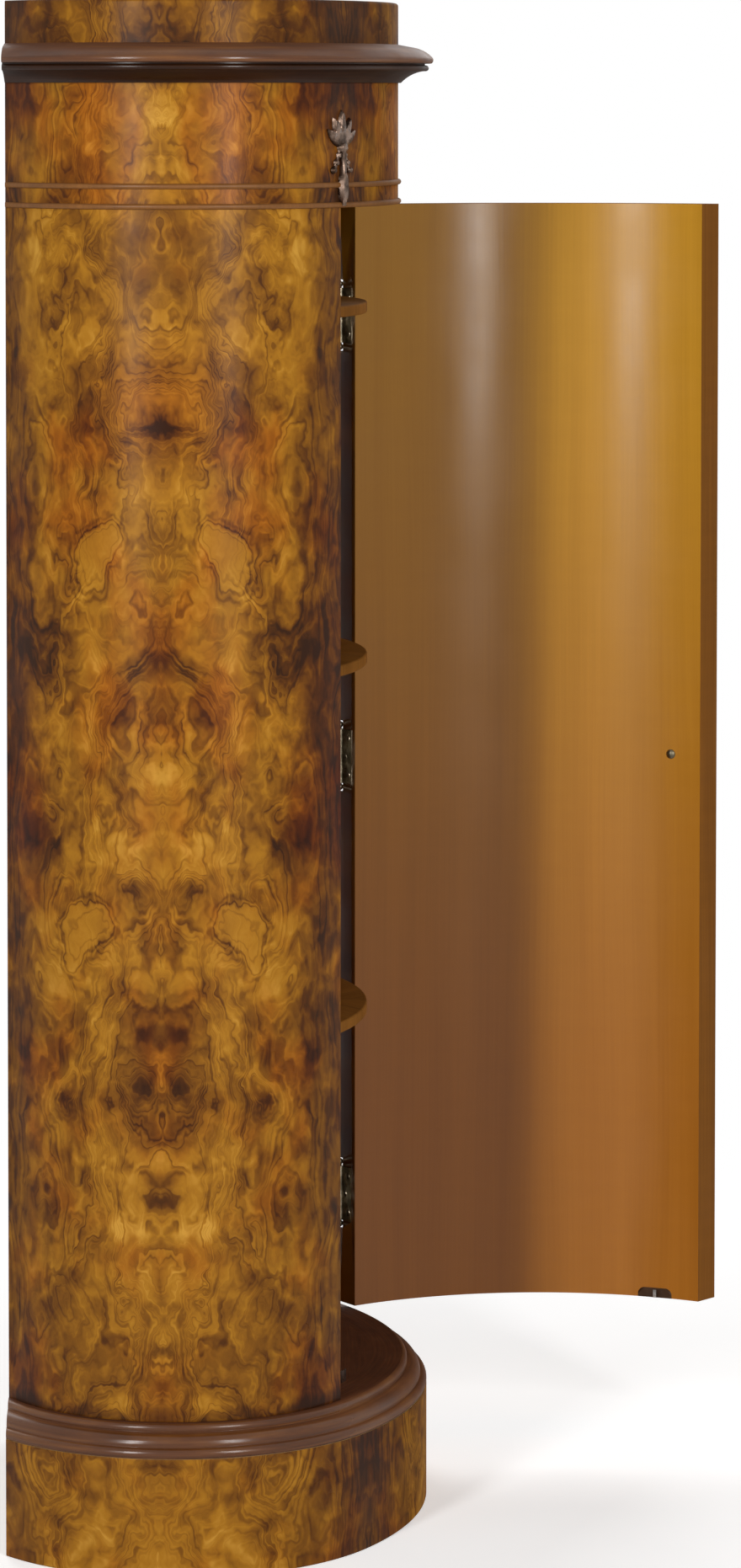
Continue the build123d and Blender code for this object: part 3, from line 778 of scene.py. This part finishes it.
wall_burl = burl(
    "wall_burl",
    -SIDE_SEAM,
    eyes=(
        (0.000, 1.030, 0.030, 0.035, 1.5),
        (0.000, 0.924, 0.034, 0.030, -2.2),
        (0.000, 0.700, 0.030, 0.080, 2.0),
        (0.015, 0.392, 0.016, 0.018, -2.2),
        (0.074, 0.235, 0.020, 0.022, -1.8),
    ),
    islands=(
        (0.044, 0.832, 0.013, 0.017, 0.9),
        (0.060, 0.812, 0.015, 0.024, 1.0),
        (0.058, 0.522, 0.016, 0.018, 1.0),
        (0.076, 0.502, 0.012, 0.022, 0.8),
    ),
    pale=(
        (0.060, 0.740, 0.008, 0.045, 0.24),
        (0.052, 0.585, 0.007, 0.045, 0.20),
        (0.090, 0.675, 0.035, 0.020, 0.16),
        (0.115, 1.020, 0.030, 0.080, 0.16),
        (0.030, 0.935, 0.010, 0.022, 0.16),
        (0.035, 0.285, 0.030, 0.030, 0.10),
    ),
    dark=(
        (0.000, 0.924, 0.015, 0.010, 0.55),
        (0.060, 0.945, 0.020, 0.030, 0.20),
        (0.000, 0.735, 0.022, 0.055, 0.16),
        (0.110, 0.730, 0.030, 0.040, 0.26),
        (0.027, 0.630, 0.009, 0.018, 0.26),
        (0.100, 0.595, 0.028, 0.036, 0.28),
        (0.014, 0.391, 0.011, 0.011, 0.42),
        (0.018, 0.425, 0.010, 0.025, 0.20),
        (0.074, 0.368, 0.014, 0.024, 0.24),
        (0.075, 0.233, 0.012, 0.014, 0.30),
        (0.155, 0.640, 0.025, 0.120, 0.14),
    ),
    red=((0.000, 0.940, 0.060, 0.045, 0.5), (0.155, 0.680, 0.040, 0.160, 0.4)),
    seed=1.3,
    # Painted shade along the wall's foot, above the base moulding
    foot=(0.120, 0.016, -0.30),
)
far_burl = burl("far_burl", SIDE_SEAM, seed=1.3)
door_burl = burl("door_burl", 0.0, seed=4.1)
frieze_burl = burl(
    "frieze_burl",
    -SIDE_SEAM,
    pale=(
        (0.000, 1.172, 0.032, 0.016, 0.34),
        (0.000, 1.140, 0.006, 0.022, 0.20),
        (0.070, 1.165, 0.030, 0.025, 0.14),
    ),
    # Painted shade: darker near the leaves' far edges, where the frieze turns away from the lamps
    dark=((0.165, 1.150, 0.030, 0.080, 0.16),),
    seed=7.7,
)
plinth_burl = burl(
    "plinth_burl", -SIDE_SEAM, pale=((0.000, 0.045, 0.075, 0.060, 0.22),), seed=2.9, shade=-0.06
)
top_burl = burl("top_burl", -SIDE_SEAM, seed=5.2, shade=-0.18)
dark_walnut = moulded(
    "dark_walnut", (0.034, 0.010, 0.003), (0.105, 0.034, 0.009), (0.205, 0.078, 0.018), 0.32
)
# Painted shade: a darker copy of the walnut for the hollow under the cornice
shaded_walnut = moulded(
    "shaded_walnut", (0.010, 0.004, 0.002), (0.024, 0.008, 0.003), (0.050, 0.018, 0.006), 0.16
)
floor_wood = moulded(
    "floor_wood", (0.026, 0.008, 0.003), (0.075, 0.023, 0.008), (0.140, 0.046, 0.015), 0.16
)
bead_wood = straight(
    "bead_wood", (0.11, 0.040, 0.008), (0.26, 0.100, 0.018), band=0.5, line=0.6, gloss=0.3
)
inner_wood = straight(
    "inner_wood", (0.13, 0.048, 0.010), (0.32, 0.130, 0.022), band=0.6, gloss=0.05
)
door_inner = straight(
    "door_inner",
    (0.37, 0.165, 0.010),
    (0.60, 0.300, 0.026),
    band=0.45,
    line=0.35,
    roughness=(0.20, 0.27),
    gloss=0.28,
    # Painted shade: darker and redder towards the bottom of the door's inside
    low_shade=(0.66, 0.42, (0.74, 0.54, 0.72), 1.0),
    # Painted shadow of the column on the hinge half of the door's inside
    leaf=(-0.005, 0.030, (0.62, 0.57, 0.60)),
    matt=False,
)
lipping_wood = straight(
    "lipping_wood", (0.13, 0.045, 0.007), (0.28, 0.105, 0.014), band=0.4, line=0.7, gloss=0.05
)
carcass_wood = straight(
    "carcass_wood", (0.26, 0.15, 0.06), (0.50, 0.33, 0.16), roughness=(0.6, 0.75), gloss=0.15
)
aged_brass = metal("aged_brass", (0.12, 0.10, 0.065), (0.42, 0.36, 0.26), (0.26, 0.42))
cast_bronze = metal(
    "cast_bronze", (0.050, 0.030, 0.020), (0.24, 0.165, 0.125), (0.26, 0.40), 400.0, 0.3
)
catch_steel = metal("catch_steel", (0.22, 0.21, 0.20), (0.50, 0.49, 0.47), (0.24, 0.38))
catch_plastic = moulded_plastic("catch_plastic", (0.045, 0.021, 0.010))


# Pieces

# Offsets between which a rebated wall's end is closed by one flat cap each
REBATE_FOLDS = (-1, REBATE_FOOT, REBATE_LIP, 1)


def box_profile(outer, inner, bottom, top):
    """A rectangle in (offset, height), with the solid on the left of its path."""
    return [(outer, bottom), (outer, top), (inner, top), (inner, bottom)]


def board_profile(outer, inner, bottom, top, tight=0.02 * MM):
    """A rectangle whose inner corners stay sharp, to meet the sheets laid across the ring."""
    return [
        (outer, bottom),
        (outer, top),
        (inner + tight, top),
        (inner, top),
        (inner, top - tight),
        (inner, bottom + tight),
        (inner, bottom),
        (inner + tight, bottom),
    ]


def rebated_profile(bottom, top):
    """The section of the case's wall, with points where the back panel's rebate starts and ends."""
    return [
        (0, bottom),
        (0, top),
        (REBATE_LIP, top),
        (REBATE_FOOT, top),
        (-WALL, top),
        (-WALL, bottom),
        (REBATE_FOOT, bottom),
        (REBATE_LIP, bottom),
    ]


def outside(outer_finish, inner_finish, edge_finish, lean=0.6):
    """Chooses a finish by the way a strip of the profile faces; lean parts faces from edges."""

    def paint(middle, normal):
        if normal[0] > lean:
            return outer_finish
        if normal[0] < -lean:
            return inner_finish
        return edge_finish

    return paint


def one_finish(middle, normal):
    return 0


def arc_points(start, middle, end, steps):
    """Points on the circle through three points, without the last."""
    ax, ay = start
    bx, by = middle
    cx, cy = end
    a, b, c = (px**2 + py**2 for px, py in (start, middle, end))
    scale = 2 * (ax * (by - cy) + bx * (cy - ay) + cx * (ay - by))
    x = (a * (by - cy) + b * (cy - ay) + c * (ay - by)) / scale
    y = (a * (cx - bx) + b * (ax - cx) + c * (bx - ax)) / scale
    radius = math.hypot(ax - x, ay - y)
    first = math.atan2(ay - y, ax - x)
    turn_middle = (math.atan2(by - y, bx - x) - first) % (2 * math.pi)
    turn_end = (math.atan2(cy - y, cx - x) - first) % (2 * math.pi)
    if turn_middle > turn_end:
        turn_end -= 2 * math.pi
    angles = [first + turn_end * step / steps for step in range(steps)]
    return [(x + radius * math.cos(angle), y + radius * math.sin(angle)) for angle in angles]


def plinth():
    profile = box_profile(OVERHANG, OVERHANG - SKIRT_THICKNESS, 0, SKIRT_TOP)
    work = ring(profile, outside(0, 1, 1), SKIRT_EASE, cap=1)
    place(work.build("skirt", [plinth_burl, carcass_wood]), "case", "plinth_skirt")


def base_mouldings():
    """Three rounded steps, with corners as shares of the ledge's width and the board's height."""
    width = OVERHANG - LEDGE
    rise = FLOOR_TOP - SKIRT_TOP

    def at(out, up):
        return LEDGE + width * out, SKIRT_TOP + rise * up

    def round_step(start, end):
        corner = (start[0], end[1])
        middle = (
            end[0] + (corner[0] - end[0]) * math.sin(math.pi / 4),
            start[1] + (corner[1] - start[1]) * math.sin(math.pi / 4),
        )
        return arc_points(start, middle, end, 10)

    profile = [at(0, 0), at(0.95, 0), at(0.95, 0.06), at(1.0, 0.06)]
    profile += round_step(at(1.0, 0.12), at(0.80, 0.33))
    profile += [at(0.80, 0.33), at(0.74, 0.33)]
    profile += round_step(at(0.74, 0.40), at(0.27, 0.74))
    profile += [at(0.27, 0.74), at(0.20, 0.74)]
    profile += round_step(at(0.20, 0.82), at(0.03, 1.0))
    profile += [at(0.03, 1.0), at(0, 1.0)]
    work = ring(profile, one_finish, MOULDING_EASE)
    place(work.build("base_moulding", [dark_walnut]), "case", "plinth_moulding")


def base():
    profile = board_profile(LEDGE, -WALL, SKIRT_TOP, FLOOR_TOP)
    work = ring(profile, one_finish, BOARD_EASE, cap=2)
    disc(work, -WALL, FLOOR_TOP, 1)
    disc(work, -WALL, SKIRT_TOP, 2, up=False)
    back_sheet(work, -WALL, SKIRT_TOP, FLOOR_TOP, 2)
    materials = [floor_wood, floor_wood, carcass_wood]
    place(work.build("floor_board", materials), "case", "base_board")


def walls():
    paint = outside(0, 1, 1)
    section = rebated_profile(FLOOR_TOP, CASE_TOP)
    lock_side = lock_line(-STILE)
    work = sweep(section, rebate_end(-1), lock_side, paint, WALL_EASE, 1, REBATE_FOLDS)
    place(work.build("wall_left", [wall_burl, inner_wood]), "case", "side_wall_left")
    hinge_side = hinge_line(HINGE_GAP / 2 + STILE)
    work = sweep(section, hinge_side, rebate_end(1), paint, WALL_EASE, 1, REBATE_FOLDS)
    place(work.build("wall_right", [far_burl, inner_wood]), "case", "side_wall_right")
    profile = box_profile(0, -WALL, FLOOR_TOP, CASE_TOP)
    work = sweep(profile, lock_side, lock_line(0), paint, WALL_EASE, 1)
    place(work.build("stile_lock", [wall_burl, lipping_wood]), "case", "lock_stile")
    dress("hinge_stile", "case", far_burl)


def frieze():
    section = rebated_profile(CASE_TOP, FRIEZE_TOP)
    paint = outside(0, 1, 1)
    work = sweep(section, rebate_end(-1), rebate_end(1), paint, WALL_EASE, 1, REBATE_FOLDS)
    place(work.build("frieze_ring", [frieze_burl, inner_wood]), "case", "frieze")


def bead(name, node, bottom):
    top = bottom + BEAD_HEIGHT
    root = BEAD_REACH - BEAD_HEIGHT / 2
    profile = [(0, top), (0, bottom)]
    profile += arc_points((root, bottom), (BEAD_REACH, bottom + BEAD_HEIGHT / 2), (root, top), 12)
    profile += [(root, top)]
    work = ring(profile, one_finish, BEAD_EASE)
    place(work.build(name, [bead_wood]), "case", node)


def cornice():
    """A hollow, a bead and a thumb, as shares of the overhang and of the cornice's height."""
    rise = CORNICE_TOP - FRIEZE_TOP

    def at(out, up):
        return CORNICE_OVERHANG * out, FRIEZE_TOP + rise * up

    profile = [at(0, 1.0), at(0, 0)]
    profile += arc_points(at(0.08, 0), at(0.36, 0.20), at(0.74, 0.31), 14)
    profile += [at(0.74, 0.31)]
    profile += arc_points(at(0.80, 0.31), at(0.87, 0.385), at(0.80, 0.46), 8)
    profile += [at(0.80, 0.46), at(0.76, 0.46), at(0.76, 0.51)]
    profile += arc_points(at(0.95, 0.51), at(1.0, 0.59), at(0.97, 0.67), 8)
    profile += arc_points(at(0.97, 0.67), at(0.76, 0.82), at(0.40, 0.93), 16)
    profile += [at(0.40, 0.93)]
    groove = FRIEZE_TOP + rise * 0.505

    # Painted shade: the hollow below the groove takes the darker, shaded walnut
    def paint(middle, normal):
        return 1 if middle[1] < groove else 0

    work = ring(profile, paint, MOULDING_EASE)
    place(work.build("cornice_ring", [dark_walnut, shaded_walnut]), "case", "cornice")


def top_block():
    profile = board_profile(0, -WALL, BLOCK_FOOT, BLOCK_TOP)
    work = ring(profile, one_finish, BLOCK_EASE, cap=1)
    disc(work, -WALL, BLOCK_TOP, 0)
    disc(work, -WALL, BLOCK_FOOT, 1, up=False)
    back_sheet(work, -WALL, BLOCK_FOOT, BLOCK_TOP, 1)
    place(work.build("block", [top_burl, carcass_wood]), "case", "block_top")


def door():
    profile = box_profile(0, -DOOR_THICKNESS, DOOR_FOOT, DOOR_HEAD)
    left = lock_line(LOCK_GAP + LIPPING)
    right = hinge_line(-HINGE_GAP / 2 - LIPPING)
    work = sweep(profile, left, right, outside(0, 1, 2), DOOR_EASE, 2)
    leaf = work.build("door_leaf", [door_burl, door_inner, lipping_wood], swing=True)
    place(leaf, "door", "door_panel")
    work = sweep(profile, lock_line(LOCK_GAP), left, outside(0, 1, 0), DOOR_EASE)
    edge = work.build("door_edge", [lipping_wood, door_inner], swing=True)
    place(edge, "door", "door_free_lipping")
    dress("door_hinge_lipping", "door", door_inner)


def small_parts():
    for node in frame["nodes"]:
        if frame["nodes"][node].get("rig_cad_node") is None:
            continue
        body = frame["nodes"][node]["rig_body"]
        if node.startswith("hinge_") and node != "hinge_stile":
            dress(node, body, aged_brass)
    for node, body, material in (
        ("back_panel", "case", inner_wood),
        ("back_panel_screws", "case", aged_brass),
        ("base_screws", "case", aged_brass),
        ("ceiling_board", "case", inner_wood),
        ("plinth_back_rail", "case", carcass_wood),
        ("plinth_cross_rail", "case", carcass_wood),
        ("plinth_blocks", "case", carcass_wood),
        ("frieze_dowels", "case", carcass_wood),
        ("shelf_bottom", "case", inner_wood),
        ("shelf_middle", "case", inner_wood),
        ("shelf_top", "case", inner_wood),
        ("shelf_pins", "case", aged_brass),
        ("mount_left", "case", cast_bronze),
        ("mount_right", "case", cast_bronze),
        ("mount_pins", "case", cast_bronze),
        ("strike_plate", "case", cast_bronze),
        ("strike_screw", "case", cast_bronze),
        ("door_knob", "door", aged_brass),
        ("knob_screw", "door", aged_brass),
        ("catch_housing", "door", catch_plastic),
        ("catch_tongue", "door", catch_steel),
    ):
        dress(node, body, material)


# Stage

FLOOR_REACH = 12.0
FLOOR_DROP = 0.2 * MM
FLOOR_GLOW = 0.40
FLOOR_FADE = (0.5, 1.5)
WORLD_FILL = 0.13
WORLD_SEEN = 1.0

# Name, place, aim, size and watts
LAMPS = (
    ("lamp_left", (-3.0, 1.35, 1.66), (0, 0, 0.8), (0.45, 1.9), 54),
    ("lamp_right", (-3.0, -1.66, 1.66), (0, -0.1, 0.8), (0.45, 1.9), 54),
    ("lamp_back_left", (3.0, 1.1, 2.0), (0, 0, 0.8), (1.2, 1.0), 38),
    ("lamp_back_right", (3.0, -1.1, 2.0), (0, 0, 0.8), (1.2, 1.0), 38),
)

# The camera, fitted to the outline in the photo; the focal length is in the photo's pixels
SENSOR_WIDTH = 36
PHOTO_HEIGHT = 1862
FOCAL_LENGTH = 6215.4
CAMERA_PLACE = (-4.4037, -0.118, 1.1893)
CAMERA_PITCH = math.radians(2.936)
CAMERA_SHIFT = (0.03088, -0.27)


def lamp(name, spot, aim, size, watts):
    data = bpy.data.lights.new(name, "AREA")
    data.shape = "RECTANGLE"
    data.size, data.size_y = size
    data.energy = watts
    obj = bpy.data.objects.new(name, data)
    obj.location = spot
    obj.rotation_euler = (Vector(aim) - Vector(spot)).to_track_quat("-Z", "Y").to_euler()
    bpy.context.scene.collection.objects.link(obj)


def seen_ray(tree):
    """1 for rays from the camera, from gloss and through glass."""
    path = tree.nodes.new("ShaderNodeLightPath")
    seen = path.outputs["Is Camera Ray"]
    for kind in ("Is Glossy Ray", "Is Transmission Ray"):
        larger = tree.nodes.new("ShaderNodeMath")
        larger.operation = "MAXIMUM"
        tree.links.new(seen, larger.inputs[0])
        tree.links.new(path.outputs[kind], larger.inputs[1])
        seen = larger.outputs[0]
    return seen


def stage_floor():
    """A pale floor that keeps the shadow and fades to white for seen rays."""
    g = Graph("stage_floor")
    seen = seen_ray(g.material.node_tree)
    x, y = g.split(g.place())
    reach = g.math("SQRT", g.add(g.times(x, x), g.times(y, y)))
    diffuse = g.nodes.new("ShaderNodeBsdfDiffuse")
    grain = g.noise(g.place(), 4.0, 3.0, 0.6)
    pale = g.mix(g.smooth(grain, 0.3, 0.7), (0.88, 0.88, 0.88), (0.91, 0.91, 0.91))
    g.put(diffuse.inputs[0], pale)
    glow = g.nodes.new("ShaderNodeEmission")
    g.put(glow.inputs[1], g.times(seen, FLOOR_GLOW))
    both = g.nodes.new("ShaderNodeAddShader")
    g.links.new(diffuse.outputs[0], both.inputs[0])
    g.links.new(glow.outputs[0], both.inputs[1])
    white = g.nodes.new("ShaderNodeEmission")
    blend = g.nodes.new("ShaderNodeMixShader")
    g.put(blend.inputs[0], g.times(seen, g.smooth(reach, *FLOOR_FADE)))
    g.links.new(both.outputs[0], blend.inputs[1])
    g.links.new(white.outputs[0], blend.inputs[2])
    g.links.new(blend.outputs[0], g.output.inputs[0])
    mesh = bpy.data.meshes.new("stage_floor")
    far = FLOOR_REACH
    corners = [(-far, -far, 0), (far, -far, 0), (far, far, 0), (-far, far, 0)]
    mesh.from_pydata(corners, [], [(0, 1, 2, 3)])
    mesh.materials.append(g.material)
    floor = bpy.data.objects.new("stage_floor", mesh)
    floor.location.z = -FLOOR_DROP
    bpy.context.scene.collection.objects.link(floor)


def studio():
    """A world that fills softly and is white where it is seen."""
    world = bpy.data.worlds.new("studio")
    world.use_nodes = True
    tree = world.node_tree
    tree.nodes.clear()
    mix = tree.nodes.new("ShaderNodeMixShader")
    tree.links.new(seen_ray(tree), mix.inputs[0])
    for socket, strength in ((mix.inputs[1], WORLD_FILL), (mix.inputs[2], WORLD_SEEN)):
        background = tree.nodes.new("ShaderNodeBackground")
        background.inputs[0].default_value = (1, 1, 1, 1)
        background.inputs[1].default_value = strength
        tree.links.new(background.outputs[0], socket)
    output = tree.nodes.new("ShaderNodeOutputWorld")
    tree.links.new(mix.outputs[0], output.inputs[0])
    bpy.context.scene.world = world


def camera():
    data = bpy.data.cameras.new("camera")
    data.sensor_fit = "AUTO"
    data.sensor_width = SENSOR_WIDTH
    data.lens = FOCAL_LENGTH * SENSOR_WIDTH / PHOTO_HEIGHT
    data.shift_x, data.shift_y = CAMERA_SHIFT
    obj = bpy.data.objects.new("camera", data)
    obj.location = CAMERA_PLACE
    heading = Vector((math.cos(CAMERA_PITCH), 0, -math.sin(CAMERA_PITCH)))
    obj.rotation_euler = heading.to_track_quat("-Z", "Y").to_euler()
    bpy.context.scene.collection.objects.link(obj)
    bpy.context.scene.camera = obj
    bpy.context.scene.view_settings.view_transform = "Standard"


plinth()
base_mouldings()
base()
walls()
frieze()
bead("bead_low", "lower_bead", CASE_TOP)
bead("bead_high", "upper_bead", CASE_TOP + BEAD_SPACING)
cornice()
top_block()
door()
small_parts()
stage_floor()
studio()
for settings in LAMPS:
    lamp(*settings)
camera()
